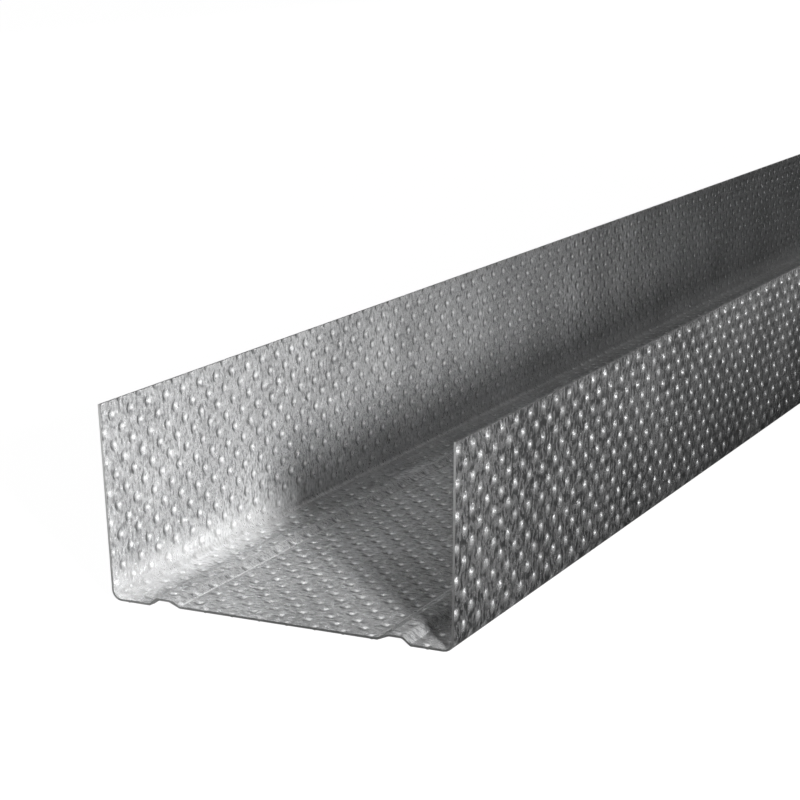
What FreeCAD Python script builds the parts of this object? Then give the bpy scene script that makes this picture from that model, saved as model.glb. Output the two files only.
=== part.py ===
"""Drywall track: one strip of galvanised sheet, roll-formed into a ribbed channel.

Millimetres. X runs across the web, Y along the track, Z up. The track lies on its two foot strips, with its
flanges up, and the origin is under the middle of the web, on the surface that the feet rest on.
"""
import FreeCAD
import Part
import Sketcher
import enum
import math
import os

# Driving dimensions: alias, value, what it measures
SIZES = [
    ("track_length", 3000.0, "length sold"),
    ("sheet_thickness", 0.55, "galvanised sheet"),
    ("stud_width", 75.0, "inside width between the flanges, where they meet the bends"),
    ("flange_height", 40.0, "top edges of the flanges above the floor"),
    ("flange_lean", 1.6, "degrees that each flange leans outwards"),
    ("bend_radius", 2.0, "inside radius of the bend between foot and flange"),
    ("foot_width", 8.6, "flange to the inner end of the flat foot strip"),
    ("step_run", 2.2, "width of the step from the foot up to the rib"),
    ("crest_width", 2.3, "flat crest of the rib"),
    ("slope_run", 2.7, "width of the slope from the rib down to the crease at the web"),
    ("rib_rise", 1.3, "underside of the rib's crest above the floor"),
    ("web_rise", 0.3, "underside of the web above the floor"),
    ("rib_radius", 0.4, "inside radius of the four small bends of the rib"),
]


class Turn(enum.IntEnum):
    """Which way the strip turns at a bend."""
    UP = 1
    DOWN = -1


class Spot(enum.IntEnum):
    """The sketcher's numbers for the points of a line or an arc."""
    START = 1
    END = 2
    CENTRE = 3


class Axis(enum.IntEnum):
    """The sketcher's numbers for its own two axes."""
    LEVEL = -1
    UPRIGHT = -2


class Bend:
    """One bend of the strip, met on the way from the middle of the web to the top of the flange."""

    def __init__(self, turn, radius, centre, heading_in, heading_out):
        self.turn = turn
        self.radius = radius
        self.centre = centre
        self.heading_in = heading_in
        self.heading_out = heading_out

    def face_radius(self, upper, sheet):
        """Radius of the upper or the under face: the face on the bend's inner side has the smaller one."""
        inner = upper == (self.turn == Turn.UP)
        return self.radius if inner else self.radius + sheet

    def point(self, heading, upper, sheet):
        """Where that face is tangent to a straight run with this heading."""
        reach = self.turn * self.face_radius(upper, sheet)
        return FreeCAD.Vector(
            self.centre[0] + reach * math.sin(heading),
            self.centre[1] - reach * math.cos(heading),
            0,
        )


def add_sizes(doc):
    """The spreadsheet that drives the model."""
    sheet = doc.addObject("Spreadsheet::Sheet", "sizes")
    for row, (alias, value, meaning) in enumerate(SIZES, start=1):
        sheet.set(f"A{row}", alias)
        sheet.set(f"B{row}", str(value))
        sheet.set(f"C{row}", meaning)
        sheet.setAlias(f"B{row}", alias)
    doc.recompute()
    return sheet


def crossing_angle(low, high, gap):
    """Slope of the straight run between two opposite bends, from their centres."""
    run = high[0] - low[0]
    rise = high[1] - low[1]
    return math.atan2(rise, run) + math.asin(gap / math.hypot(run, rise))


def strip_bends(sizes):
    """The five bends of one half of the strip, in order."""
    sheet = sizes.sheet_thickness
    small = sizes.rib_radius
    lean = math.radians(sizes.flange_lean)
    upright = math.pi / 2 - lean
    foot_x = sizes.stud_width / 2 - sizes.foot_width
    crest_end_x = foot_x - sizes.step_run
    crest_start_x = crest_end_x - sizes.crest_width
    crease_x = crest_start_x - sizes.slope_run
    crease = (crease_x, sizes.web_rise + sheet + small)
    crest_start = (crest_start_x, sizes.rib_rise - small)
    crest_end = (crest_end_x, sizes.rib_rise - small)
    step_foot = (foot_x, sheet + small)
    corner = (sizes.stud_width / 2 - sizes.bend_radius * math.cos(lean), sheet + sizes.bend_radius)
    gap = 2 * small + sheet
    slope = crossing_angle(crease, crest_start, gap)
    mirrored_foot = (-step_foot[0], step_foot[1])
    mirrored_crest = (-crest_end[0], crest_end[1])
    step = -crossing_angle(mirrored_foot, mirrored_crest, gap)
    return [
        Bend(Turn.UP, small, crease, 0.0, slope),
        Bend(Turn.DOWN, small, crest_start, slope, 0.0),
        Bend(Turn.DOWN, small, crest_end, 0.0, step),
        Bend(Turn.UP, small, step_foot, step, 0.0),
        Bend(Turn.UP, sizes.bend_radius, corner, 0.0, upright),
    ]


def face_geometry(bends, sizes, upper):
    """Runs and arcs of one face of the half strip, from the middle of the web to the flange's top."""
    sheet = sizes.sheet_thickness
    level = sizes.web_rise + (sheet if upper else 0.0)
    here = FreeCAD.Vector(0, level, 0)
    pieces = []
    for bend in bends:
        start = bend.point(bend.heading_in, upper, sheet)
        end = bend.point(bend.heading_out, upper, sheet)
        middle = bend.point((bend.heading_in + bend.heading_out) / 2, upper, sheet)
        pieces.append(Part.LineSegment(here, start))
        pieces.append(Part.Arc(start, middle, end))
        here = end
    lean = math.radians(sizes.flange_lean)
    top_height = sizes.flange_height - (0.0 if upper else sheet * math.sin(lean))
    rise = top_height - here.y
    top = FreeCAD.Vector(here.x + rise * math.tan(lean), top_height, 0)
    pieces.append(Part.LineSegment(here, top))
    return pieces


class Section:
    """The closed half section: its geometry, and the constraints that tie it to the spreadsheet."""

    def __init__(self, sketch, sizes):
        self.sketch = sketch
        bends = strip_bends(sizes)
        self.bends = bends
        self.under = self.add_face(face_geometry(bends, sizes, upper=False))
        self.upper = self.add_face(face_geometry(bends, sizes, upper=True))
        self.middle = self.add_closing_line(self.under[0], Spot.START, self.upper[0], Spot.START)
        self.top = self.add_closing_line(self.under[-1], Spot.END, self.upper[-1], Spot.END)

    def add_face(self, pieces):
        """One chain of lines and arcs, tangent where they meet."""
        ids = [self.sketch.addGeometry(piece, False) for piece in pieces]
        for before, after in zip(ids, ids[1:]):
            before_end = self.near_end(before, after)
            after_end = self.near_end(after, before)
            self.add("Tangent", before, before_end, after, after_end)
        return ids

    def near_end(self, piece, neighbour):
        """The end of a piece that touches its neighbour."""
        starts = self.sketch.getPoint(piece, Spot.START)
        ends = self.sketch.getPoint(piece, Spot.END)
        others = [self.sketch.getPoint(neighbour, which) for which in (Spot.START, Spot.END)]
        reach_start = min(starts.distanceToPoint(other) for other in others)
        reach_end = min(ends.distanceToPoint(other) for other in others)
        return Spot.START if reach_start < reach_end else Spot.END

    def add_closing_line(self, first, first_end, second, second_end):
        """The cut edge of the sheet between its two faces."""
        start = self.sketch.getPoint(first, first_end)
        end = self.sketch.getPoint(second, second_end)
        closing = self.sketch.addGeometry(Part.LineSegment(start, end), False)
        self.add("Coincident", closing, Spot.START, first, first_end)
        self.add("Coincident", closing, Spot.END, second, second_end)
        return closing

    def add(self, *terms):
        return self.sketch.addConstraint(Sketcher.Constraint(*terms))

    def drive(self, name, expression, *terms):
        """A dimension bound to the spreadsheet."""
        number = self.add(*terms)
        self.sketch.renameConstraint(number, name)
        self.sketch.setExpression(f"Constraints.{name}", expression)

    def constrain_bends(self, sizes):
        """Each bend has one centre for both faces, and radii that differ by the sheet's thickness."""
        first_of = {}
        for number, bend in enumerate(self.bends):
            arcs = {False: self.under[2 * number + 1], True: self.upper[2 * number + 1]}
            self.add("Coincident", arcs[False], Spot.CENTRE, arcs[True], Spot.CENTRE)
            source = "bend_radius" if number == len(self.bends) - 1 else "rib_radius"
            for upper, arc in arcs.items():
                radius = bend.face_radius(upper, sizes.sheet_thickness)
                side = "inside" if radius == bend.radius else "outside"
                name = f"{source}_{side}"
                if name in first_of:
                    self.add("Equal", first_of[name], arc)
                    continue
                first_of[name] = arc
                grown = " + sizes.sheet_thickness" if side == "outside" else ""
                self.drive(name, f"sizes.{source}{grown}", "Radius", arc, radius)

    def constrain_runs(self, sizes):
        """Levels, widths and angles of the straight runs."""
        web, slope, crest, step, foot, flange = self.under[::2]
        web_upper = self.upper[0]
        flange_upper = self.upper[-1]
        for line in (web, web_upper, crest, foot):
            self.add("Horizontal", line)
        self.add("PointOnObject", web, Spot.START, Axis.UPRIGHT)
        self.add("PointOnObject", web_upper, Spot.START, Axis.UPRIGHT)
        self.add("PointOnObject", foot, Spot.START, Axis.LEVEL)
        self.add("Parallel", flange, flange_upper)
        self.add("Perpendicular", flange, self.top)
        origin = (Axis.LEVEL, Spot.START)
        self.drive("web_rise", "sizes.web_rise", "DistanceY", *origin, web, Spot.START, sizes.web_rise)
        self.drive("rib_rise", "sizes.rib_rise", "DistanceY", *origin, crest, Spot.START, sizes.rib_rise)
        self.drive("flange_height", "sizes.flange_height",
                   "DistanceY", *origin, flange_upper, Spot.END, sizes.flange_height)
        self.drive("half_stud_width", "sizes.stud_width / 2",
                   "DistanceX", *origin, flange_upper, Spot.START, sizes.stud_width / 2)
        self.drive("foot_width", "sizes.foot_width",
                   "DistanceX", foot, Spot.START, flange_upper, Spot.START, sizes.foot_width)
        self.drive("step_run", "sizes.step_run",
                   "DistanceX", crest, Spot.END, foot, Spot.START, sizes.step_run)
        self.drive("crest_width", "sizes.crest_width",
                   "DistanceX", crest, Spot.START, crest, Spot.END, sizes.crest_width)
        self.drive("slope_run", "sizes.slope_run",
                   "DistanceX", web, Spot.END, crest, Spot.START, sizes.slope_run)
        upright = math.radians(90 - sizes.flange_lean)
        self.drive("flange_angle", "(90 - sizes.flange_lean) * 1 deg",
                   "Angle", Axis.LEVEL, Spot.START, flange, Spot.START, upright)


def origin_plane(body, role):
    """One of the body's own origin planes."""
    return next(plane for plane in body.Origin.OriginFeatures if plane.Role == role)


def build_track(doc, sizes):
    """Half the section is padded along the track and mirrored to the other side."""
    body = doc.addObject("PartDesign::Body", "track")
    sketch = body.newObject("Sketcher::SketchObject", "half_section")
    sketch.AttachmentSupport = [(origin_plane(body, "XZ_Plane"), "")]
    sketch.MapMode = "FlatFace"
    doc.recompute()
    section = Section(sketch, sizes)
    section.constrain_bends(sizes)
    section.constrain_runs(sizes)
    doc.recompute()

    rolled = body.newObject("PartDesign::Pad", "rolled_half")
    rolled.Profile = sketch
    rolled.SideType = "Symmetric"
    rolled.setExpression("Length", "sizes.track_length")

    whole = body.newObject("PartDesign::Mirrored", "whole_track")
    whole.Originals = [rolled]
    whole.MirrorPlane = (origin_plane(body, "YZ_Plane"), [""])
    body.Tip = whole
    doc.recompute()
    return body, sketch


def check(doc, body, sketch):
    """Stop before anything is written if a feature failed."""
    for item in doc.Objects:
        failed = {"Invalid", "Error"} & set(item.State)
        if failed:
            raise RuntimeError(f"{item.Name} is {', '.join(sorted(failed))}")
    if not sketch.FullyConstrained:
        raise RuntimeError("the half section isn't fully constrained")
    if body.Shape.isNull() or not body.Shape.isValid() or len(body.Shape.Solids) != 1:
        raise RuntimeError("the track isn't one valid solid")


def main():
    doc = FreeCAD.newDocument("drywall_track")
    sizes = add_sizes(doc)
    body, sketch = build_track(doc, sizes)
    check(doc, body, sketch)
    os.makedirs("parts", exist_ok=True)
    body.Label = "track"
    body.Shape.exportStep(f"parts/{body.Label}.step")
    box = body.Shape.BoundBox
    print(f"track {box.XLength:.3f} x {box.YLength:.3f} x {box.ZLength:.3f} mm, {body.Shape.Volume:.1f} mm3")


main()
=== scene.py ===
import math
from collections import namedtuple

import bpy
from bpy.props import FloatProperty, FloatVectorProperty, IntProperty, PointerProperty
from bpy.types import Operator, Panel, PropertyGroup
from mathutils import Matrix, Vector


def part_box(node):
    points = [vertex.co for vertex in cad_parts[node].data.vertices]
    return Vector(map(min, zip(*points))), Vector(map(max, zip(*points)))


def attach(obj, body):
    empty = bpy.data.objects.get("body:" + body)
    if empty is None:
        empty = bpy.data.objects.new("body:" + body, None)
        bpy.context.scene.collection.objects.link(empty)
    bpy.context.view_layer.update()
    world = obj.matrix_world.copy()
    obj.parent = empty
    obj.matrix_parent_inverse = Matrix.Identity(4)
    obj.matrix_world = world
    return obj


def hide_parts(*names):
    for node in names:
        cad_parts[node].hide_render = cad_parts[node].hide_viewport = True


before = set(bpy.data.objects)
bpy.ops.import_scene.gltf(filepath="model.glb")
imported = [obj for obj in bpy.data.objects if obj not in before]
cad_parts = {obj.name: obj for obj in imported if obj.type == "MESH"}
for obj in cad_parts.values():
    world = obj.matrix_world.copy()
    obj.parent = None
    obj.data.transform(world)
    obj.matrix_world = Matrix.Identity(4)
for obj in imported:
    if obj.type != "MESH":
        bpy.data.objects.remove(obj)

bl_info = {
    "name": "Drywall track",
    "version": (1, 0, 0),
    "blender": (4, 5, 0),
    "location": "View3D > Sidebar > Drywall track",
    "description": "Dimpled galvanised track for wall studs, with its floor, light and camera",
    "category": "Add Mesh",
}

MM = 0.001
LOW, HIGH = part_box("track")
NEAR_Y = LOW.y
FAR_Y = HIGH.y
NEAR_END = Vector((0, NEAR_Y, 0))
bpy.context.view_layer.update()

# The sheet's own UV map, and what is stored at its points
STRIP_MAP = "strip"
ACROSS = "across"
PRESSED = "pressed"

# How finely the sheet is cut up: bends, rows of dimples, and strips of faces to a column of dimples
BEND_FACET = math.radians(18)
LINES_PER_ROW = 4
LEAST_LINE_GAP = 0.08
FINE_STRIPS = 4
PLAIN_STRIPS = 2
FAR_STRIPS = 8
SAME_PLACE = 1e-6
LEAST_LENGTH = 1e-5
SMOOTH_ANGLE = math.radians(40)

# Where the dimples run out: beside a bend, and in millimetres at the cut edges and where bump takes over
BEND_RUN_OUT = 1.2 * MM
EDGE_MARGIN = 0.25
EDGE_FADE = 0.4
HAND_OVER = 6.0

# Cut edges: how far the flanges' tops stay under the full height, and the bands that are made level
TOP_CLEARANCE = 0.01 * MM
TOP_RIM = 0.1 * MM
NEAR_RIM = 0.3 * MM

# Noise of the zinc: its detail, its roughness in grain and clouds, and the share of each in the tone
NOISE_DETAIL = 3.0
GRAIN_ROUGHNESS = 0.7
CLOUD_ROUGHNESS = 0.5
GRAIN_SHARE = 0.8
CRYSTAL_SHARE = 0.05
CLOUD_SHARE = 0.15

# Colour slots of a Mix node
MIX_FIRST = 6
MIX_SECOND = 7
MIX_COLOUR = 2

# The camera, from the middle of the near end
CAMERA_PLACE = Vector((0.19660, -0.31993, 0.12992))
CAMERA_RIGHT = Vector((0.886281, 0.462696, -0.020383))
CAMERA_UP = Vector((-0.086117, 0.207874, 0.974354))
SENSOR_WIDTH = 36.0
CLIP_START = 0.01
CLIP_END = 100.0

# The studio: its floor, the heading of its open side along X and Y, and how fast its levels change
FLOOR_SIZE = 40
OPEN_SIDE = (0.455, -0.862)
OVERHEAD_RISE = 1.5
SKY_RISE = 1.5
FLAG_START = 0.6
FLAG_SIDE = 0.2

# The lamps, placed and aimed from the middle of the near end
Lamp = namedtuple("Lamp", "name place aim size watts spread")
LAMPS = [
    Lamp("overhead", (-0.2, 2.0, 1.2), (0, 2.0, 0), (0.6, 1.8), 2.5, math.radians(80)),
    Lamp("key", (0.50, -0.39, 0.20), (-0.038, 0.02, 0.02), (0.1, 0.1), 0.78, math.radians(36)),
    Lamp("side", (0.45, 0.30, 0.022), (0.038, 0.1, 0.02), (0.6, 0.036), 0.28, math.pi),
    Lamp("left", (-1.6, 2.1, 0.6), (0, 2.1, 0), (2.2, 0.8), 8.0, math.radians(80)),
    Lamp("right", (1.6, 2.2, 0.6), (0, 2.2, 0), (1.8, 0.8), 6.0, math.radians(80)),
]


class TrackSheetSizes(PropertyGroup):
    """The roll-formed section of the track."""

    thickness: FloatProperty(
        name="Sheet thickness", description="Thickness of the plain sheet, dimples left out",
        default=0.55 * MM, unit="LENGTH", precision=5)
    skin: FloatProperty(
        name="Skin thickness", description="Thickness of the dimpled sheet, stretched by the embossing",
        default=0.45 * MM, unit="LENGTH", precision=5)
    inside_width: FloatProperty(
        name="Inside width", description="Width between the flanges, where they meet the bends",
        default=75.0 * MM, unit="LENGTH", precision=5)
    flange_lean: FloatProperty(
        name="Flange lean", description="Angle that each flange leans outwards",
        default=math.radians(1.6), subtype="ANGLE")
    bend_radius: FloatProperty(
        name="Bend radius", description="Inside radius of the bend between foot and flange",
        default=2.0 * MM, unit="LENGTH", precision=5)
    foot_width: FloatProperty(
        name="Foot width", description="Flange to the inner end of the flat foot strip",
        default=8.6 * MM, unit="LENGTH", precision=5)
    step_run: FloatProperty(
        name="Step run", description="Width of the step from the foot up to the rib",
        default=2.2 * MM, unit="LENGTH", precision=5)
    crest_width: FloatProperty(
        name="Crest width", description="Flat crest of the rib",
        default=2.3 * MM, unit="LENGTH", precision=5)
    slope_run: FloatProperty(
        name="Slope run", description="Width of the slope from the rib down to the crease at the web",
        default=2.7 * MM, unit="LENGTH", precision=5)
    rib_rise: FloatProperty(
        name="Rib rise", description="Underside of the rib's crest above the floor",
        default=1.3 * MM, unit="LENGTH", precision=5)
    web_rise: FloatProperty(
        name="Web rise", description="Underside of the web above the floor",
        default=0.3 * MM, unit="LENGTH", precision=5)
    rib_radius: FloatProperty(
        name="Rib radius", description="Inside radius of the four small bends of the rib",
        default=0.4 * MM, unit="LENGTH", precision=5)


class DimpleSizes(PropertyGroup):
    """The staggered dimples, pressed from the inside of the channel outwards."""

    column_pitch: FloatProperty(
        name="Column pitch", description="Distance between columns of dimples along the track",
        default=3.15 * MM, unit="LENGTH", precision=5)
    row_pitch: FloatProperty(
        name="Row pitch", description="Distance between rows of dimples across the sheet",
        default=3.05 * MM, unit="LENGTH", precision=5)
    first_column: FloatProperty(
        name="First column", description="Distance of the first column from the near end",
        default=0.7 * MM, unit="LENGTH", precision=5)
    first_row: FloatProperty(
        name="First row", description="Distance of the first row from the left flange's top edge",
        default=2.79 * MM, unit="LENGTH", precision=5)
    depth: FloatProperty(
        name="Depth", description="How far a dimple is pressed out of the sheet",
        default=0.36 * MM, unit="LENGTH", precision=5)
    radius: FloatProperty(
        name="Radius", description="Radius at which a dimple runs out into the flat sheet",
        default=1.4 * MM, unit="LENGTH", precision=5)
    fine_columns: IntProperty(
        name="Fine columns", description="Columns next to the near end that have four strips of faces each",
        default=30)
    plain_columns: IntProperty(
        name="Plain columns", description="Columns after them that have two strips of faces each",
        default=43)


class ZincFinish(PropertyGroup):
    """The zinc coat, inside the channel (inner) and outside it (outer), and the bare cut edges."""

    dark: FloatVectorProperty(
        name="Dark zinc", description="Zinc where the grain is dark", subtype="COLOR",
        default=(0.24, 0.242, 0.245))
    light: FloatVectorProperty(
        name="Light zinc", description="Zinc where the grain is light", subtype="COLOR",
        default=(0.72, 0.723, 0.727))
    # Dark colour: painted shade on the near slope of each pit, on the creases further along and between the
    # bumps outside, where it is also the zinc's own dark tone
    dull_and_painted_shade: FloatVectorProperty(
        name="Dull zinc", description="Oxide where the rolls didn't rub the zinc", subtype="COLOR",
        default=(0.06, 0.061, 0.062))
    # Painted highlight: the bright spot in each pit, the crease lines near the near end and the band along
    # the big bends
    painted_highlight: FloatVectorProperty(
        name="Rubbed zinc", description="Zinc that the rolls rubbed bright, in pits, creases and bends",
        subtype="COLOR", default=(0.95, 0.95, 0.95))
    edge: FloatVectorProperty(
        name="Cut edge", description="Bare steel of the sheared edges", subtype="COLOR",
        default=(0.72, 0.72, 0.72))
    edge_shade: FloatProperty(
        name="Edge shade", description="Brightness of the darkest spots of a cut edge, as a share",
        subtype="FACTOR", default=0.7, min=0, max=1)
    edge_scale: FloatProperty(
        name="Edge scale", description="Spots of a cut edge to a metre", default=900.0)
    edge_roughness: FloatProperty(
        name="Edge roughness", description="Least roughness of a cut edge",
        subtype="FACTOR", default=0.3, min=0, max=1)
    edge_spread: FloatProperty(
        name="Edge spread", description="How much the roughness of a cut edge varies", default=0.1)

    inner_roughness: FloatProperty(
        name="Inner roughness", description="Roughness of the zinc inside the channel",
        subtype="FACTOR", default=0.26, min=0, max=1)
    outer_roughness: FloatProperty(
        name="Outer roughness", description="Roughness of the zinc outside, polished by the rolls",
        subtype="FACTOR", default=0.24, min=0, max=1)
    inner_metallic: FloatProperty(
        name="Inner metallic", description="Share of bright metal inside the channel, the rest is dull oxide",
        subtype="FACTOR", default=0.7, min=0, max=1)
    outer_metallic: FloatProperty(
        name="Outer metallic", description="Share of bright metal outside, the rest is dull oxide",
        subtype="FACTOR", default=0.9, min=0, max=1)
    rough_grain: FloatProperty(
        name="Rough grain", description="How much rougher the dull grains are than the bright ones",
        default=0.12)
    rough_clouds: FloatProperty(
        name="Rough clouds", description="How much the roughness varies from one patch to the next",
        default=0.1)

    inner_scale: FloatProperty(
        name="Inner scale", description="Grains of the zinc to a millimetre inside", default=1.5)
    outer_scale: FloatProperty(
        name="Outer scale", description="Grains of the zinc to a millimetre outside", default=1.2)
    grain_stretch: FloatProperty(
        name="Grain stretch", description="How much longer the grains are across the sheet than along it",
        default=2.2)
    crystal_scale: FloatProperty(
        name="Crystal scale", description="Zinc crystals to a millimetre", default=0.9)
    cloud_scale: FloatProperty(
        name="Cloud scale", description="Broad patches of the zinc to a millimetre", default=0.045)
    inner_spread: FloatProperty(
        name="Inner spread", description="Noise over which the zinc turns from dark to light inside",
        default=0.25)
    outer_spread: FloatProperty(
        name="Outer spread", description="Noise over which the zinc turns from dark to light outside",
        default=0.12)
    inner_grain: FloatProperty(
        name="Inner grain", description="Depth of the grain inside, in mm", default=0.04)
    outer_grain: FloatProperty(
        name="Outer grain", description="Depth of the grain outside, in mm", default=0.1)

    inner_tip: FloatProperty(
        name="Inner tip", description="Radius of the steep pit in each dimple, in mm", default=1.05)
    outer_tip: FloatProperty(
        name="Outer tip", description="Radius of the steep bump on each dimple, in mm", default=1.2)
    inner_steep: FloatProperty(
        name="Inner steep", description="Depth of the steep pit, in mm", default=0.15)
    outer_steep: FloatProperty(
        name="Outer steep", description="Height of the steep bump, in mm", default=0.2)
    unevenness: FloatProperty(
        name="Unevenness", description="How much the dimples differ in height, as a share", default=0.7)
    bend_relief: FloatProperty(
        name="Bend relief", description="Share of the dimples' relief that is left in the bends and ribs",
        subtype="FACTOR", default=0.5, min=0, max=1)
    far_relief: FloatProperty(
        name="Far relief", description="Share of the dimples' depth in the bump that takes over from shape",
        subtype="FACTOR", default=0.6, min=0, max=1)

    # Painted light in each pit: painted shade on the slope nearer the near end, which faces away from the key
    # lamp, and a painted highlight on the far slope, which faces it
    shade_radius: FloatProperty(
        name="Trail radius", description="Radius at which the oxide in a pit ends, in mm", default=1.5)
    shade_rise: FloatProperty(
        name="Trail rise", description="How fast the oxide sets in behind the middle of a pit", default=1.5)
    inner_painted_shade: FloatProperty(
        name="Inner dull", description="Share of the oxide on the trailing slope of each pit",
        subtype="FACTOR", default=0.85, min=0, max=1)
    highlight_ahead: FloatProperty(
        name="Rub ahead", description="Distance of the rubbed spot from the middle of its pit, in mm",
        default=0.45)
    highlight_radius: FloatProperty(
        name="Rub radius", description="Radius of the rubbed spot in each pit, in mm", default=0.75)
    inner_painted_highlight: FloatProperty(
        name="Inner rub", description="Share of rubbed zinc on the leading slope of each pit",
        subtype="FACTOR", default=0.6, min=0, max=1)

    outer_streak: FloatProperty(
        name="Outer streak", description="Share of bare zinc in the light grains outside",
        subtype="FACTOR", default=0.48, min=0, max=1)
    # Painted sheen on the bumps outside, which are painted lighter, with painted shade left between them; the
    # streaks of the grain are the zinc's own
    painted_sheen_radius: FloatProperty(
        name="Halo radius", description="Radius of the bare zinc on a bump, in mm", default=1.7)
    outer_painted_sheen: FloatProperty(
        name="Outer halo", description="Share of bare zinc on the bumps outside",
        subtype="FACTOR", default=0.6, min=0, max=1)

    # Painted light along the creases of the web: a painted highlight near the near end, turning to painted
    # shade further along the track
    crease_painted_light: FloatProperty(
        name="Burnish", description="Strength of the lines along the creases of the web",
        subtype="FACTOR", default=0.9, min=0, max=1)
    crease_painted_light_width: FloatProperty(
        name="Burnish width", description="Half width of the line along a crease, in mm", default=0.4)
    crease_painted_light_run: FloatProperty(
        name="Burnish run", description="Distance over which a crease turns from rubbed to dull, in mm",
        default=70.0)
    crease_painted_light_end: FloatProperty(
        name="Burnish end", description="Distance from the near end at which a crease is dull, in such runs",
        default=1.5)
    crease_highlight_share: FloatProperty(
        name="Crease bright", description="Share of the burnish where a crease is rubbed",
        subtype="FACTOR", default=0.9, min=0, max=1)
    crease_shade_share: FloatProperty(
        name="Crease dull", description="Share of the burnish where a crease is dull",
        subtype="FACTOR", default=0.5, min=0, max=1)
    # Painted highlight in a band along the big bends
    bend_width: FloatProperty(
        name="Bend width", description="Half width of the rubbed band along the big bends, in mm",
        default=7.0)
    bend_fade: FloatProperty(
        name="Bend fade", description="Share of that half width over which the band fades",
        subtype="FACTOR", default=0.5, min=0, max=1)
    bend_painted_highlight: FloatProperty(
        name="Bend rub", description="Share of rubbed zinc along the big bends",
        subtype="FACTOR", default=0.33, min=0, max=1)


class StageSettings(PropertyGroup):
    """Floor, surroundings and camera."""

    floor: FloatVectorProperty(
        name="Floor", description="Colour of the floor", subtype="COLOR", default=(0.6, 0.6, 0.6))
    open_level: FloatProperty(
        name="Open level", description="How white the open floor is to the camera", default=1.1)
    open_share: FloatProperty(
        name="Open share", description="Share of that white to the camera, the rest keeps the shadow",
        subtype="FACTOR", default=0.9, min=0, max=1)
    mirror_near: FloatProperty(
        name="Near mirror", description="How white the floor beside the near end is in the metal",
        subtype="FACTOR", default=0.035, min=0, max=1)
    mirror_run: FloatProperty(
        name="Mirror run", description="Distance from the metal at which the floor is white in it",
        default=0.9, unit="LENGTH")
    flag_reach: FloatProperty(
        name="Flag reach", description="Distance from the near end to which the floor is dim in the metal",
        default=0.6, unit="LENGTH")
    mirror_open: FloatProperty(
        name="Open mirror", description="How white the open surroundings are in the metal",
        subtype="FACTOR", default=0.7, min=0, max=1)
    mirror_sky: FloatProperty(
        name="Mirror sky", description="How white the dim surroundings are in the metal",
        subtype="FACTOR", default=0.07, min=0, max=1)
    sky_band: FloatProperty(
        name="Sky band", description="Height of the dim surroundings, as a sine", default=0.5)
    world: FloatProperty(name="World", description="Strength of the light from all round", default=0.08)
    lens: FloatProperty(name="Lens", description="Focal length of the camera", default=93.4, unit="CAMERA")


class Wire:
    """A node's output socket, with the arithmetic that adds Math nodes."""

    def __init__(self, tree, socket):
        self.tree = tree
        self.socket = socket

    def math(self, operation, *others, clamp=False):
        made = node(self.tree, "ShaderNodeMath", {"operation": operation, "use_clamp": clamp},
                    dict(enumerate((self, *others))))
        return made.out()

    def clamped(self):
        """Kept between 0 and 1."""
        return self.math("ADD", 0.0, clamp=True)

    def __add__(self, other):
        return self.math("ADD", other)

    def __sub__(self, other):
        return self.math("SUBTRACT", other)

    def __mul__(self, other):
        return self.math("MULTIPLY", other)

    def __truediv__(self, other):
        return self.math("DIVIDE", other)

    def __radd__(self, other):
        return self.math("ADD", other)

    def __rmul__(self, other):
        return self.math("MULTIPLY", other)

    def __rsub__(self, other):
        return reflected(self, "SUBTRACT", other)

    def __rtruediv__(self, other):
        return reflected(self, "DIVIDE", other)


def reflected(wire, operation, number):
    """An operation on a number and a wire, in that order."""
    made = node(wire.tree, "ShaderNodeMath", {"operation": operation}, {0: number, 1: wire})
    return made.out()


class Made:
    """A node just added, which hands out its outputs."""

    def __init__(self, tree, item):
        self.tree = tree
        self.item = item

    def out(self, which=0):
        return Wire(self.tree, self.item.outputs[which])


def node(tree, kind, settings=None, inputs=None):
    """Any node: its settings first, then the values or links of its sockets."""
    item = tree.nodes.new(kind)
    for name, value in (settings or {}).items():
        setattr(item, name, value)
    for which, value in (inputs or {}).items():
        socket = item.inputs[which]
        if isinstance(value, Wire):
            tree.links.new(value.socket, socket)
        else:
            socket.default_value = value
    return Made(tree, item)


def blend(factor, first, second):
    """Colour between two others, each of them a wire or a plain colour."""
    inputs = {"Factor": factor}
    for which, colour in ((MIX_FIRST, first), (MIX_SECOND, second)):
        inputs[which] = colour if isinstance(colour, Wire) else (*colour, 1)
    return node(factor.tree, "ShaderNodeMix", {"data_type": "RGBA"}, inputs).out(MIX_COLOUR)


def new_material(name):
    """A material without nodes."""
    material = bpy.data.materials.new(name)
    material.use_nodes = True
    material.node_tree.nodes.clear()
    return material


class Lattice:
    """The staggered dimples around a point of the sheet, from wires along and across it in millimetres."""

    def __init__(self, u, v, dimples):
        column_pitch = dimples.column_pitch / MM
        row_pitch = dimples.row_pitch / MM
        column = (u - dimples.first_column / MM) / column_pitch
        # One more, because the first row has its dimples in the odd columns
        row = (v - dimples.first_row / MM) / row_pitch + 1.0
        one = (column + row) * 0.5
        other = (column - row) * 0.5
        self.one = one.math("ROUND")
        self.other = other.math("ROUND")
        self.along = (one - self.one + other - self.other) * column_pitch
        self.across = (one - self.one - other + self.other) * row_pitch
        self.reach = self.distance()

    def distance(self, ahead=0.0):
        """Distance from the middle of the nearest dimple, or from a spot ahead of it along the track."""
        along = self.along - ahead
        return (along * along + self.across * self.across).math("SQRT")

    def uneven(self, share):
        """About 1, by chance a little more or less for each dimple."""
        tree = self.one.tree
        place = node(tree, "ShaderNodeCombineXYZ", inputs={0: self.one, 1: self.other}).out()
        chance = node(tree, "ShaderNodeTexWhiteNoise", {"noise_dimensions": "2D"}, {"Vector": place})
        return chance.out("Value") * share + (1.0 - share / 2)


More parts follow.
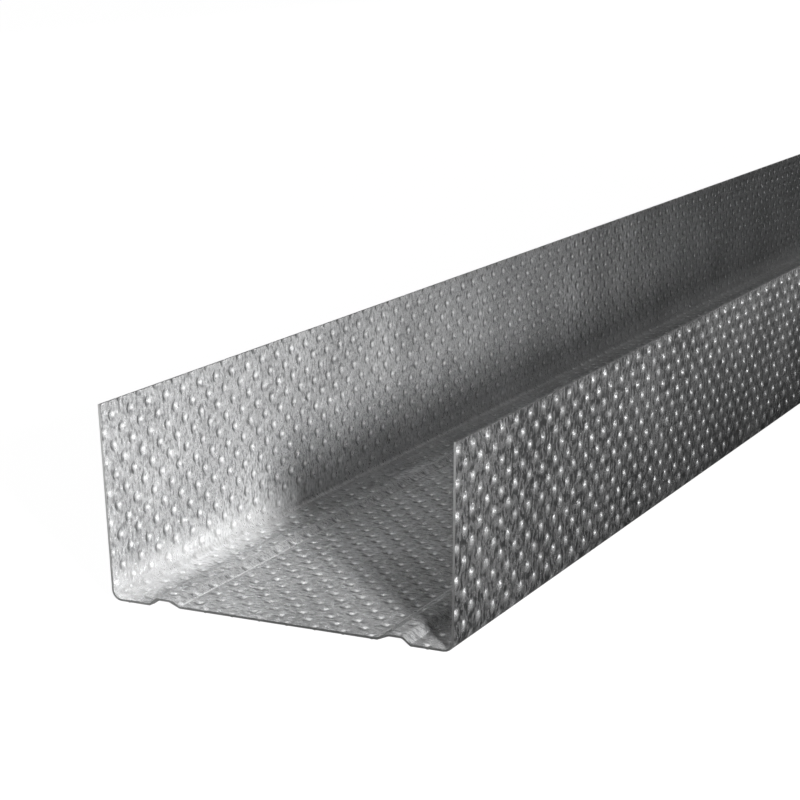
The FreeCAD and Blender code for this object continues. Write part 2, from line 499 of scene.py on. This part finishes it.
def ring(reach, radius):
    """1 on the slope of a dimple, 0 at its centre and from its radius on."""
    share = (reach / radius).math("MINIMUM", 1.0)
    square = share * share
    return square * (1.0 - square) * 4.0


def bowl(reach, radius):
    """1 at the centre of a dimple, 0 from its radius on, level at both."""
    share = (reach / radius).math("MINIMUM", 1.0)
    left = 1.0 - share * share
    return left * left


def near_either(v, lines, width):
    """1 on either of two lines along the sheet, 0 from a width in millimetres beside them on."""
    gaps = [(v - line / MM).math("ABSOLUTE") for line in lines]
    return (1.0 - gaps[0].math("MINIMUM", gaps[1]) / width).math("MAXIMUM", 0.0)


def shaped_share(u, dimples):
    """1 where the dimples are shaped, from the near end on, falling to 0 where bump has taken over."""
    embossed = (dimples.fine_columns + dimples.plain_columns) * dimples.column_pitch / MM
    return ((embossed - u) / HAND_OVER).clamped()


class Bend:
    """One bend of the sheet's middle line, on the way from the middle of the web to the top of a flange."""

    def __init__(self, turn, radius, centre, heading_in, heading_out):
        self.turn = turn
        self.radius = radius
        self.centre = centre
        self.heading_in = heading_in
        self.heading_out = heading_out

    def point(self, heading):
        reach = self.turn * self.radius
        return (self.centre[0] + reach * math.sin(heading), self.centre[1] - reach * math.cos(heading))

    def angle(self):
        return abs(self.heading_out - self.heading_in)

    def length(self):
        return self.radius * self.angle()


def crossing_angle(low, high, gap):
    """Slope of the straight run between two opposite bends, from their centres."""
    run = high[0] - low[0]
    rise = high[1] - low[1]
    return math.atan2(rise, run) + math.asin(gap / math.hypot(run, rise))


# Part of the middle line, at a distance from the web's middle: a bend, or a run from start to end
Stretch = namedtuple("Stretch", "begin length bend start end")


class HalfSection:
    """Middle line of half the section, from the middle of the web to a flange's top."""

    def __init__(self, sizes, dimple_inset, top):
        self.stretches = []
        self.length = 0.0
        half = sizes.thickness / 2
        here = (0.0, sizes.web_rise + half)
        for bend in self.bends(sizes, half):
            self.add_run(here, bend.point(bend.heading_in))
            self.add_stretch(bend.length(), bend=bend)
            here = bend.point(bend.heading_out)
        end_z = top - TOP_CLEARANCE - (half + dimple_inset) * math.sin(sizes.flange_lean)
        end_x = here[0] + (end_z - here[1]) * math.tan(sizes.flange_lean)
        self.add_run(here, (end_x, end_z))

    def bends(self, sizes, half):
        sheet = sizes.thickness
        small = sizes.rib_radius
        foot_x = sizes.inside_width / 2 - sizes.foot_width
        crest_end_x = foot_x - sizes.step_run
        crest_start_x = crest_end_x - sizes.crest_width
        crease_x = crest_start_x - sizes.slope_run
        crease = (crease_x, sizes.web_rise + sheet + small)
        crest_start = (crest_start_x, sizes.rib_rise - small)
        crest_end = (crest_end_x, sizes.rib_rise - small)
        step_foot = (foot_x, sheet + small)
        corner_x = sizes.inside_width / 2 - sizes.bend_radius * math.cos(sizes.flange_lean)
        corner = (corner_x, sheet + sizes.bend_radius)
        gap = 2 * small + sheet
        slope = crossing_angle(crease, crest_start, gap)
        step = -crossing_angle((-step_foot[0], step_foot[1]), (-crest_end[0], crest_end[1]), gap)
        middle = small + half
        upright = math.pi / 2 - sizes.flange_lean
        return [
            Bend(1, middle, crease, 0.0, slope),
            Bend(-1, middle, crest_start, slope, 0.0),
            Bend(-1, middle, crest_end, 0.0, step),
            Bend(1, middle, step_foot, step, 0.0),
            Bend(1, sizes.bend_radius + half, corner, 0.0, upright),
        ]

    def add_run(self, start, end):
        self.add_stretch(math.dist(start, end), start=start, end=end)

    def add_stretch(self, length, bend=None, start=None, end=None):
        self.stretches.append(Stretch(self.length, length, bend, start, end))
        self.length += length

    def at(self, distance):
        """Place across and up of a point this far along the sheet from the middle of the web."""
        reached = (item for item in self.stretches if distance <= item.begin + item.length)
        stretch = next(reached, self.stretches[-1])
        share = (distance - stretch.begin) / stretch.length
        bend = stretch.bend
        if bend:
            return bend.point(bend.heading_in + share * (bend.heading_out - bend.heading_in))
        (start_x, start_z), (end_x, end_z) = stretch.start, stretch.end
        return (start_x + share * (end_x - start_x), start_z + share * (end_z - start_z))

    def key_distances(self):
        """Ends of the runs, and the cuts that make each bend round."""
        keys = []
        for stretch in self.stretches:
            cuts = 1
            if stretch.bend:
                cuts = max(2, math.ceil(stretch.bend.angle() / BEND_FACET))
            keys += [stretch.begin + stretch.length * step / cuts for step in range(1, cuts + 1)]
        return keys

    def run_at(self, distance):
        """The straight run with this point on it, or nothing where the point is in a bend."""
        runs = (item for item in self.stretches if not item.bend)
        return next((run for run in runs if run.begin <= distance <= run.begin + run.length), None)

    def flatness(self, distance):
        """1 on a straight run, falling to 0 next to a bend, and 0 in it."""
        run = self.run_at(distance)
        if not run:
            return 0.0
        clear = [BEND_RUN_OUT]
        if run is not self.stretches[0]:
            clear.append(distance - run.begin)
        if run is not self.stretches[-1]:
            clear.append(run.begin + run.length - distance)
        return max(0.0, min(clear) / BEND_RUN_OUT)


class Strip:
    """The whole sheet, unrolled: lines along it from the left flange's top edge to the right one's."""

    def __init__(self, sizes, dimples, top):
        self.inset = dimples.depth + (sizes.skin - sizes.thickness) / 2
        self.half = HalfSection(sizes, self.inset, top)
        self.width = 2 * self.half.length
        self.lines = self.place_lines(dimples)

    def place_lines(self, dimples):
        """Lines at the runs' ends and in the bends, and on the runs some to each row of dimples."""
        pitch = dimples.row_pitch
        lines = {0.0, self.width}
        for key in self.half.key_distances():
            lines |= {self.half.length - key, self.half.length + key}
        first = dimples.first_row - pitch
        rows = math.ceil(self.width / pitch) + 1
        for number in range(rows * LINES_PER_ROW):
            line = first + number / LINES_PER_ROW * pitch
            on_sheet = 0 < line < self.width
            if not on_sheet or not self.half.run_at(abs(line - self.half.length)):
                continue
            if min(abs(line - other) for other in lines) > LEAST_LINE_GAP * pitch:
                lines.add(line)
        return sorted(lines)

    def bend_lines(self, number):
        """Lines along the middles of a bend, on the left and on the right, counted from the web."""
        bend = [item for item in self.half.stretches if item.bend][number]
        reach = bend.begin + bend.length / 2
        return self.half.length - reach, self.half.length + reach

    def place(self, line):
        """Place across and up of a line of the strip."""
        distance = line - self.half.length
        x, z = self.half.at(min(abs(distance), self.half.length))
        return Vector((math.copysign(x, distance), 0.0, z))

    def flatness(self, line):
        return self.half.flatness(abs(line - self.half.length))


def deselect_all():
    if bpy.context.object and bpy.context.object.mode != "OBJECT":
        bpy.ops.object.mode_set(mode="OBJECT")
    bpy.ops.object.select_all(action="DESELECT")


def select_edges(piece, wanted):
    """In edit mode, only the edges whose two ends pass the test are selected."""
    bpy.ops.object.mode_set(mode="OBJECT")
    mesh = piece.data
    for group in (mesh.vertices, mesh.edges, mesh.polygons):
        group.foreach_set("select", [False] * len(group))
    for edge in mesh.edges:
        first, second = (mesh.vertices[number].co for number in edge.vertices)
        edge.select = wanted(first, second)
    bpy.ops.object.mode_set(mode="EDIT")
    bpy.ops.mesh.select_mode(type="EDGE")


def draw_strip(strip):
    """The sheet in its rolled shape, one face long: the middle of the web, drawn out both ways."""
    places = [strip.place(line) for line in strip.lines]
    middle = next(number for number, place in enumerate(places) if place.x > 0)
    left, right = places[middle - 1], places[middle]
    deselect_all()
    bpy.ops.mesh.primitive_plane_add(size=1, calc_uvs=False, location=(0, 0, 0))
    piece = bpy.context.object
    bpy.ops.object.mode_set(mode="EDIT")
    bpy.ops.transform.resize(value=(right.x - left.x, FAR_Y - NEAR_Y, 1))
    bpy.ops.transform.translate(value=((left + right) / 2))
    for start, onward in ((left, places[middle - 2::-1]), (right, places[middle + 1:])):
        select_edges(piece, lambda one, two: max(abs(one.x - start.x), abs(two.x - start.x)) < SAME_PLACE)
        here = start
        for place in onward:
            bpy.ops.mesh.extrude_edges_move(TRANSFORM_OT_translate={"value": place - here})
            here = place
    bpy.ops.object.mode_set(mode="OBJECT")
    return piece


def lengthwise_between(low, high):
    """A test for the edges that run along the track between two places."""

    def test(one, two):
        inside = low - SAME_PLACE < min(one.y, two.y) and max(one.y, two.y) < high + SAME_PLACE
        return inside and abs(one.y - two.y) > LEAST_LENGTH

    return test


def cut_lengthwise(piece, dimples):
    """Strips of faces along the track: fine ones at the near end, then plain ones, then long ones."""
    pitch = dimples.column_pitch
    first = NEAR_Y + dimples.first_column
    # The fine columns are cut in two halves, because one subdivision makes no more than 100 cuts
    half_fine = dimples.fine_columns // 2
    fine_end = first + dimples.fine_columns * pitch
    plain_end = fine_end + dimples.plain_columns * pitch
    places = [first, first + half_fine * pitch, fine_end, plain_end, FAR_Y]
    fine_count = half_fine * FINE_STRIPS
    counts = [fine_count, fine_count, dimples.plain_columns * PLAIN_STRIPS, FAR_STRIPS]
    bpy.ops.object.mode_set(mode="EDIT")
    for place in places[:-1]:
        bpy.ops.mesh.select_all(action="SELECT")
        bpy.ops.mesh.bisect(plane_co=(0, place, 0), plane_no=(0, 1, 0))
    for start, end, count in zip(places, places[1:], counts):
        select_edges(piece, lengthwise_between(start, end))
        bpy.ops.mesh.subdivide(number_cuts=count - 1)
    bpy.ops.object.mode_set(mode="OBJECT")


def face_inwards(piece):
    """All faces look the same way, into the channel."""
    bpy.ops.object.mode_set(mode="EDIT")
    bpy.ops.mesh.select_all(action="SELECT")
    bpy.ops.mesh.normals_make_consistent(inside=False)
    bpy.ops.object.mode_set(mode="OBJECT")
    web = min(piece.data.polygons, key=lambda face: abs(face.center.x))
    if web.normal.z < 0:
        piece.data.flip_normals()


def map_strip(piece, strip):
    """Each point's place on the unrolled sheet, and how much of a dimple is left there by the bends."""
    mesh = piece.data
    places = [(line, strip.place(line)) for line in strip.lines]
    line_at = {}

    def nearest_line(x, z):
        if (x, z) not in line_at:
            line_at[x, z] = min(places, key=lambda pair: math.hypot(pair[1].x - x, pair[1].z - z))[0]
        return line_at[x, z]

    across = [nearest_line(vertex.co.x, vertex.co.z) for vertex in mesh.vertices]
    pressed_at = {line: strip.flatness(line) for line in strip.lines}
    stored = mesh.attributes.new(ACROSS, "FLOAT", "POINT")
    stored.data.foreach_set("value", across)
    stored = mesh.attributes.new(PRESSED, "FLOAT", "POINT")
    stored.data.foreach_set("value", [pressed_at[line] for line in across])
    uv = mesh.uv_layers.new(name=STRIP_MAP)
    for loop in mesh.loops:
        vertex = mesh.vertices[loop.vertex_index]
        uv.uv[loop.index].vector = (vertex.co.y - NEAR_Y, across[loop.vertex_index])


def press_tree(strip, dimples):
    """Geometry nodes that press the dimples out of the sheet, towards the outside of the channel."""
    tree = bpy.data.node_groups.new("press_dimples", "GeometryNodeTree")
    tree.interface.new_socket("Geometry", in_out="INPUT", socket_type="NodeSocketGeometry")
    tree.interface.new_socket("Geometry", in_out="OUTPUT", socket_type="NodeSocketGeometry")

    def stored(name):
        return node(tree, "GeometryNodeInputNamedAttribute", {"data_type": "FLOAT"}, {"Name": name}).out()

    begin = node(tree, "NodeGroupInput")
    place = node(tree, "GeometryNodeInputPosition")
    split = node(tree, "ShaderNodeSeparateXYZ", inputs={0: place.out()})
    u = (split.out("Y") - NEAR_Y) / MM
    v = stored(ACROSS) / MM
    shape = bowl(Lattice(u, v, dimples).reach, dimples.radius / MM)
    edge = u.math("MINIMUM", v).math("MINIMUM", strip.width / MM - v)
    fade_in = ((edge - EDGE_MARGIN) / EDGE_FADE).clamped()
    lift = strip.inset - shape * stored(PRESSED) * shaped_share(u, dimples) * fade_in * dimples.depth
    normal = node(tree, "GeometryNodeInputNormal")
    offset = node(tree, "ShaderNodeVectorMath", {"operation": "SCALE"}, {0: normal.out(), "Scale": lift})
    moved = node(tree, "GeometryNodeSetPosition", inputs={"Geometry": begin.out(), "Offset": offset.out()})
    node(tree, "NodeGroupOutput", inputs={0: moved.out()})
    return tree


def press_and_thicken(piece, strip, sizes, dimples):
    """Press the dimples, then give the sheet its wall, with outside and cut edges in their own slots."""
    press = piece.modifiers.new("press_dimples", "NODES")
    press.node_group = press_tree(strip, dimples)
    wall = piece.modifiers.new("wall", "SOLIDIFY")
    wall.thickness = sizes.skin
    wall.offset = 0.0
    wall.material_offset = 1
    wall.material_offset_rim = 2
    for modifier in ("press_dimples", "wall"):
        bpy.ops.object.modifier_apply(modifier=modifier)


def level_rims(piece):
    """Cut edges lie level: the near end in one plane, and the flanges' tops just under the full height."""
    select_edges(piece, lambda one, two: max(one.y, two.y) < NEAR_Y + NEAR_RIM)
    bpy.ops.transform.resize(value=(1, 0, 1), center_override=(0, NEAR_Y, 0))
    select_edges(piece, lambda one, two: min(one.z, two.z) > HIGH.z - TOP_RIM)
    bpy.ops.transform.resize(value=(1, 1, 0), center_override=(0, 0, HIGH.z - TOP_CLEARANCE))
    bpy.ops.object.mode_set(mode="OBJECT")


class ZincCoat:
    """What the zinc inside and outside the channel share: the grain and the dimples on the unrolled sheet."""

    def __init__(self, name, face, finish, dimples):
        self.face = face
        self.finish = finish
        self.dimples = dimples
        self.material = new_material(name)
        self.tree = self.material.node_tree
        uv = node(self.tree, "ShaderNodeUVMap", {"uv_map": STRIP_MAP}).out()
        scaled = node(self.tree, "ShaderNodeVectorMath", {"operation": "SCALE"}, {0: uv, "Scale": 1 / MM})
        self.flat = scaled.out()
        split = node(self.tree, "ShaderNodeSeparateXYZ", inputs={0: self.flat})
        self.u = split.out("X")
        self.v = split.out("Y")
        self.lattice = Lattice(self.u, self.v, dimples)
        left = node(self.tree, "ShaderNodeAttribute", {"attribute_name": PRESSED}).out("Fac")
        self.pressed = left * (1.0 - finish.bend_relief) + finish.bend_relief
        self.grain = self.noise(self.own("scale"), GRAIN_ROUGHNESS, finish.grain_stretch)
        self.clouds = self.noise(finish.cloud_scale, CLOUD_ROUGHNESS)
        self.shade = self.tone()

    def own(self, name):
        """A setting of the finish that differs between inside and outside."""
        return getattr(self.finish, f"{self.face}_{name}")

    def noise(self, scale, roughness, stretch=1.0):
        """Noise on the unrolled sheet, drawn out across it."""
        drawn = node(self.tree, "ShaderNodeVectorMath", {"operation": "MULTIPLY"},
                     {0: self.flat, 1: (1.0, 1.0 / stretch, 1.0)})
        made = node(self.tree, "ShaderNodeTexNoise", {"noise_dimensions": "2D"},
                    {"Vector": drawn.out(), "Scale": scale, "Detail": NOISE_DETAIL, "Roughness": roughness})
        return made.out()

    def tone(self):
        """0 where the grain is dark and 1 where it is light, with single crystals and broad patches in it."""
        crystals = node(self.tree, "ShaderNodeTexVoronoi", {"voronoi_dimensions": "2D"},
                        {"Vector": self.flat, "Scale": self.finish.crystal_scale})
        crystal = node(self.tree, "ShaderNodeSeparateColor", inputs={0: crystals.out("Color")}).out()
        level = self.grain * GRAIN_SHARE + crystal * CRYSTAL_SHARE + self.clouds * CLOUD_SHARE
        margin = self.own("spread") / 2
        limits = {"Value": level, "From Min": 0.5 - margin, "From Max": 0.5 + margin}
        return node(self.tree, "ShaderNodeMapRange", inputs=limits).out()

    def relief(self, way):
        """Height of dimples and grain in millimetres, with the dimples standing out (1) or sunk in (-1)."""
        tip = bowl(self.lattice.reach, self.own("tip")) * self.own("steep")
        whole = bowl(self.lattice.reach, self.dimples.radius / MM)
        far = 1.0 - shaped_share(self.u, self.dimples)
        far_depth = self.finish.far_relief * self.dimples.depth / MM
        dimple = tip * self.lattice.uneven(self.finish.unevenness) + whole * far * far_depth
        return dimple * self.pressed * way + self.grain * self.own("grain")

    def finished(self, colour, way):
        """The material, from its colour and the way that the dimples go."""
        finish = self.finish
        patches = (self.clouds - 0.5) * finish.rough_clouds
        rough = self.own("roughness") + (1.0 - self.shade) * finish.rough_grain + patches
        bump = node(self.tree, "ShaderNodeBump", inputs={
            "Strength": 1.0, "Distance": MM, "Height": self.relief(way)})
        shader = node(self.tree, "ShaderNodeBsdfPrincipled", inputs={
            "Base Color": colour, "Roughness": rough, "Metallic": self.own("metallic"), "Normal": bump.out()})
        node(self.tree, "ShaderNodeOutputMaterial", inputs={"Surface": shader.out()})
        return self.material


def make_zinc_inside(finish, dimples, strip):
    """Pale zinc with pits, each with a painted highlight on its far slope and painted shade on its near
    slope, and painted light along the creases and the big bends.
    """
    coat = ZincCoat("zinc_inside", "inner", finish, dimples)
    lattice = coat.lattice
    # Painted highlight on the far slope of each pit and painted shade on its near slope, where the key lamp
    # lights and misses them
    spot = bowl(lattice.distance(finish.highlight_ahead), finish.highlight_radius)
    slope = ring(lattice.reach, finish.shade_radius)
    trailing = (lattice.along / -finish.shade_radius * finish.shade_rise).clamped()
    colour = blend(coat.shade, finish.dark, finish.light)
    colour = blend(spot * coat.pressed * finish.inner_painted_highlight, colour, finish.painted_highlight)
    colour = blend(slope * coat.pressed * trailing * finish.inner_painted_shade, colour, finish.dull_and_painted_shade)

    # Painted light along the creases: a painted highlight near the near end, fading to painted shade further
    # along
    crease = near_either(coat.v, strip.bend_lines(0), finish.crease_painted_light_width)
    lit_share = (finish.crease_painted_light_end - coat.u / finish.crease_painted_light_run).clamped()
    line = blend(lit_share, finish.dull_and_painted_shade, finish.painted_highlight)
    strength = lit_share * (finish.crease_highlight_share - finish.crease_shade_share) + finish.crease_shade_share
    colour = blend(crease * strength * finish.crease_painted_light, colour, line)

    # Painted highlight along the big bends
    band = near_either(coat.v, strip.bend_lines(-1), finish.bend_width)
    colour = blend((band / finish.bend_fade).clamped() * finish.bend_painted_highlight, colour, finish.painted_highlight)
    return coat.finished(colour, -1.0)


def make_zinc_outside(finish, dimples):
    """Dark zinc, light in the streaks of its grain, with each bump painted lighter as a painted sheen and
    painted shade between the bumps.
    """
    coat = ZincCoat("zinc_outside", "outer", finish, dimples)
    # Painted sheen on each bump, and painted shade between the bumps
    painted_sheen = bowl(coat.lattice.reach, finish.painted_sheen_radius)
    bare = (coat.shade * finish.outer_streak + painted_sheen * finish.outer_painted_sheen).math("MINIMUM", 1.0)
    return coat.finished(blend(bare, finish.dull_and_painted_shade, finish.light), 1.0)


def make_cut_edge(finish):
    """Sheared edge of the sheet: bare steel, finely mottled."""
    material = new_material("cut_edge_steel")
    tree = material.node_tree
    place = node(tree, "ShaderNodeTexCoord").out("Object")
    spots = node(tree, "ShaderNodeTexNoise", inputs={"Vector": place, "Scale": finish.edge_scale}).out()
    darkest = [finish.edge_shade * part for part in finish.edge]
    shader = node(tree, "ShaderNodeBsdfPrincipled", inputs={
        "Base Color": blend(spots, darkest, finish.edge),
        "Roughness": finish.edge_roughness + spots * finish.edge_spread, "Metallic": 1.0})
    node(tree, "ShaderNodeOutputMaterial", inputs={"Surface": shader.out()})
    return material


class TRACK_OT_sheet(Operator):
    """Roll the dimpled sheet of the track"""

    bl_idname = "track.sheet"
    bl_label = "Dimpled sheet"

    def execute(self, context):
        sizes = context.scene.track_sheet
        dimples = context.scene.track_dimples
        finish = context.scene.track_zinc
        strip = Strip(sizes, dimples, HIGH.z)
        piece = draw_strip(strip)
        piece.name = "track_sheet"
        piece.data.name = "track_sheet"
        cut_lengthwise(piece, dimples)
        face_inwards(piece)
        map_strip(piece, strip)
        piece.data.materials.append(make_zinc_inside(finish, dimples, strip))
        piece.data.materials.append(make_zinc_outside(finish, dimples))
        piece.data.materials.append(make_cut_edge(finish))
        press_and_thicken(piece, strip, sizes, dimples)
        level_rims(piece)
        bpy.ops.object.shade_smooth_by_angle(angle=SMOOTH_ANGLE)

        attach(piece, "root")
        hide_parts("track")
        return {"FINISHED"}


def ray_kinds(path):
    """From a Light Path node: 1 for the camera's rays, and 1 for rays in metal or glass."""
    mirrored = path.out("Is Glossy Ray").math("MAXIMUM", path.out("Is Transmission Ray"))
    return path.out("Is Camera Ray"), mirrored


def make_floor_paint(settings):
    """Pale floor that keeps the track's shadow: white to the camera, and in metal dim at the near right."""
    material = new_material("studio_floor")
    tree = material.node_tree
    path = node(tree, "ShaderNodeLightPath")
    camera, mirrored = ray_kinds(path)
    away = (path.out("Ray Length") / settings.mirror_run).math("MINIMUM", 1.0)
    place = node(tree, "ShaderNodeSeparateXYZ", inputs={0: node(tree, "ShaderNodeTexCoord").out("Object")})
    beyond = ((place.out("Y") - NEAR_Y) / settings.flag_reach - FLAG_START) / (1.0 - FLAG_START)
    left = place.out("X") / (-FLAG_SIDE * settings.flag_reach)
    bare = beyond.math("MAXIMUM", left).clamped()
    near = settings.mirror_near + bare * (settings.mirror_open - settings.mirror_near)
    level = camera * settings.open_level + (1.0 - camera) * (near + away * (1.0 - near))
    paint = node(tree, "ShaderNodeBsdfDiffuse", inputs={"Color": (*settings.floor, 1)})
    white = node(tree, "ShaderNodeEmission", inputs={"Color": level, "Strength": 1.0})
    share = (camera * settings.open_share).math("MAXIMUM", mirrored)
    mixed = node(tree, "ShaderNodeMixShader", inputs={0: share, 1: paint.out(), 2: white.out()})
    node(tree, "ShaderNodeOutputMaterial", inputs={"Surface": mixed.out()})
    return material


def make_surroundings(settings):
    """White to the camera, and in metal pale on the open side and overhead and dim in the band between."""
    world = bpy.data.worlds.new("studio")
    world.use_nodes = True
    tree = world.node_tree
    tree.nodes.clear()
    camera, mirrored = ray_kinds(node(tree, "ShaderNodeLightPath"))
    way = node(tree, "ShaderNodeSeparateXYZ", inputs={0: node(tree, "ShaderNodeTexCoord").out("Generated")})
    front = way.out("X") * OPEN_SIDE[0] + way.out("Y") * OPEN_SIDE[1]
    overhead = (way.out("Z") - settings.sky_band) * OVERHEAD_RISE
    pale = (front.math("MAXIMUM", overhead) * SKY_RISE).clamped()
    sky = settings.mirror_sky + pale * (settings.mirror_open - settings.mirror_sky)
    level = camera.math("MAXIMUM", mirrored * sky).math("MAXIMUM", settings.world)
    light = node(tree, "ShaderNodeBackground", inputs={"Color": level, "Strength": 1.0})
    node(tree, "ShaderNodeOutputWorld", inputs={"Surface": light.out()})
    return world


def add_floor(settings):
    deselect_all()
    bpy.ops.mesh.primitive_plane_add(size=FLOOR_SIZE, location=(0, 0, 0))
    floor = bpy.context.object
    floor.name = "floor"
    floor.data.materials.append(make_floor_paint(settings))


def add_lamp(lamp):
    deselect_all()
    bpy.ops.object.light_add(type="AREA", location=NEAR_END + Vector(lamp.place))
    item = bpy.context.object
    item.name = lamp.name
    item.data.shape = "RECTANGLE"
    item.data.size, item.data.size_y = lamp.size
    item.data.energy = lamp.watts
    item.data.spread = lamp.spread
    item.visible_camera = False
    item.rotation_euler = (Vector(lamp.aim) - Vector(lamp.place)).to_track_quat("-Z", "Y").to_euler()


def add_camera(context, settings):
    data = bpy.data.cameras.new("photo_view")
    camera = bpy.data.objects.new("photo_view", data)
    context.collection.objects.link(camera)
    data.lens = settings.lens
    data.sensor_width = SENSOR_WIDTH
    data.clip_start = CLIP_START
    data.clip_end = CLIP_END
    back = CAMERA_RIGHT.cross(CAMERA_UP)
    turn = Matrix((CAMERA_RIGHT, CAMERA_UP, back)).transposed().to_4x4()
    camera.matrix_world = Matrix.Translation(NEAR_END + CAMERA_PLACE) @ turn
    context.scene.camera = camera


class TRACK_OT_stage(Operator):
    """Lay the floor, hang the lamps and place the camera"""

    bl_idname = "track.stage"
    bl_label = "Stage"

    def execute(self, context):
        settings = context.scene.track_stage
        add_floor(settings)
        context.scene.world = make_surroundings(settings)
        for lamp in LAMPS:
            add_lamp(lamp)
        add_camera(context, settings)
        context.scene.view_settings.view_transform = "Standard"
        return {"FINISHED"}


class TRACK_PT_sidebar(Panel):
    """Lists what makes the track"""

    bl_label = "Drywall track"
    bl_idname = "TRACK_PT_sidebar"
    bl_space_type = "VIEW_3D"
    bl_region_type = "UI"
    bl_category = "Drywall track"

    def draw(self, context):
        for operator in (TRACK_OT_sheet, TRACK_OT_stage):
            self.layout.operator(operator.bl_idname)


SETTINGS = {
    "track_sheet": TrackSheetSizes,
    "track_dimples": DimpleSizes,
    "track_zinc": ZincFinish,
    "track_stage": StageSettings,
}
CLASSES = (*SETTINGS.values(), TRACK_OT_sheet, TRACK_OT_stage, TRACK_PT_sidebar)


def register():
    for item in CLASSES:
        bpy.utils.register_class(item)
    for name, group in SETTINGS.items():
        setattr(bpy.types.Scene, name, PointerProperty(type=group))


def unregister():
    for name in SETTINGS:
        delattr(bpy.types.Scene, name)
    for item in reversed(CLASSES):
        bpy.utils.unregister_class(item)


def main():
    register()
    bpy.ops.track.sheet()
    bpy.ops.track.stage()


if __name__ == "__main__":
    main()
